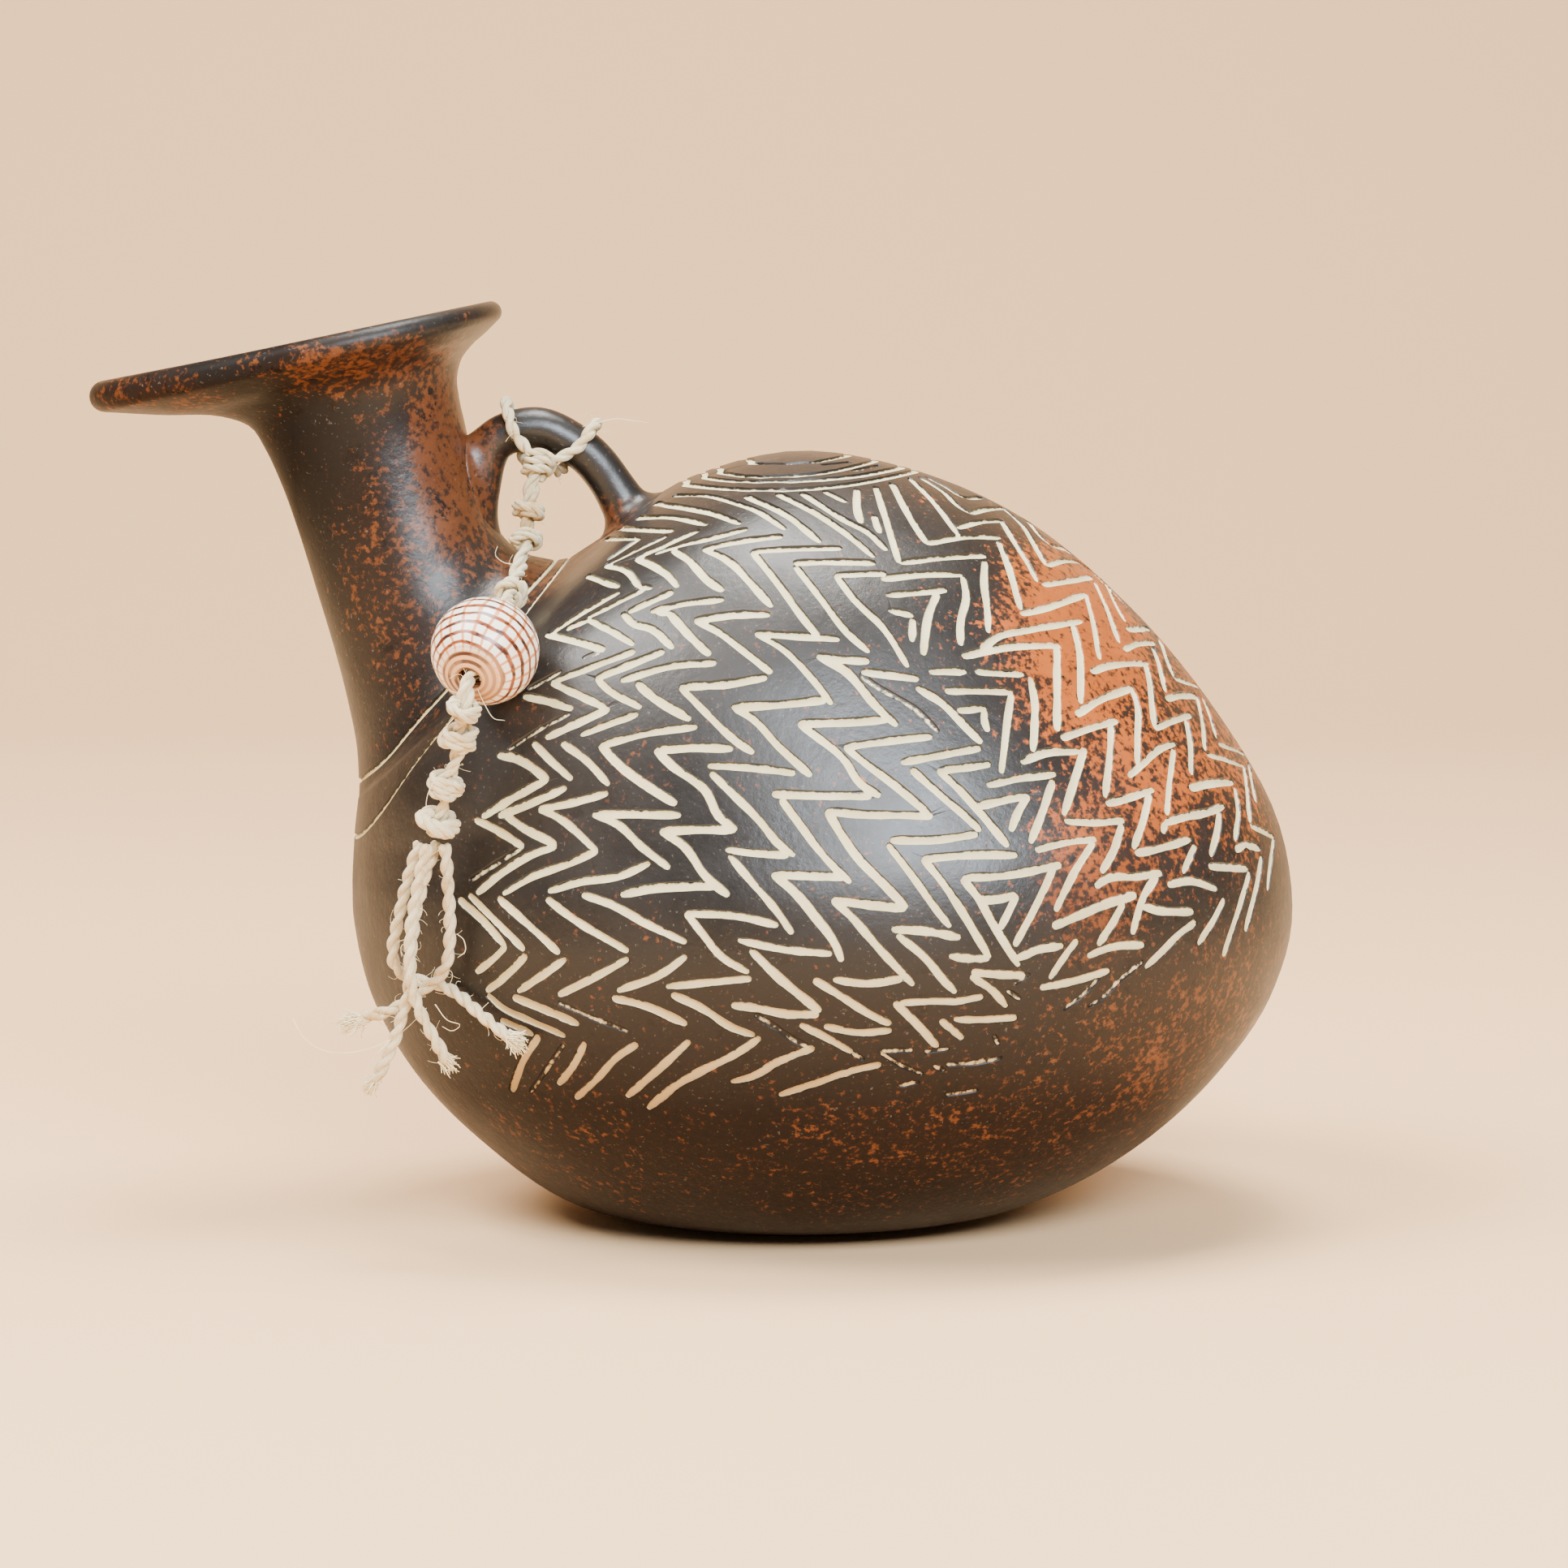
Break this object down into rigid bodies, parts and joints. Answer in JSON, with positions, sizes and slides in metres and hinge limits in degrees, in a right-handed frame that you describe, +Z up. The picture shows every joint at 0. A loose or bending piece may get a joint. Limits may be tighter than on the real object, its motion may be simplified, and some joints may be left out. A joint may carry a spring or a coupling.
{
  "type": "askos",
  "caption": "Round-bodied clay askos with a flaring spout and a loop handle, incised zigzag ornament filled with pale paste, and a knotted twine tassel with a bead.",
  "frame": {"origin": "centre of the small flat underside, on the surface the pot stands on", "axes": "+Z up, -X towards the pouring lip, +Y away from the side that carries the tassel"},
  "size_m": [0.2223, 0.148, 0.17],
  "materials": {
    "burnished_clay": "burnished, smoke-blackened, with orange-brown patches and pale paste in the incised lines",
    "shell_bead": "polished cream with thin orange-brown bands",
    "twine": "matt natural bast twine, fuzzy"
  },
  "bodies": {
    "root": {"vessel": "burnished_clay", "bead": "shell_bead", "twine_strand": "twine", "twine_turn_left": "twine", "twine_turn_right": "twine", "knot_top": "twine", "knot_upper": "twine", "knot_middle": "twine", "knot_collar": "twine", "knot_under_bead": "twine", "knot_lower": "twine", "knot_long": "twine", "knot_binding": "twine", "tassel_strand_outer": "twine", "tassel_strand_middle": "twine", "tassel_strand_inner": "twine", "tassel_strand_right": "twine"}
  },
  "joints": []
}
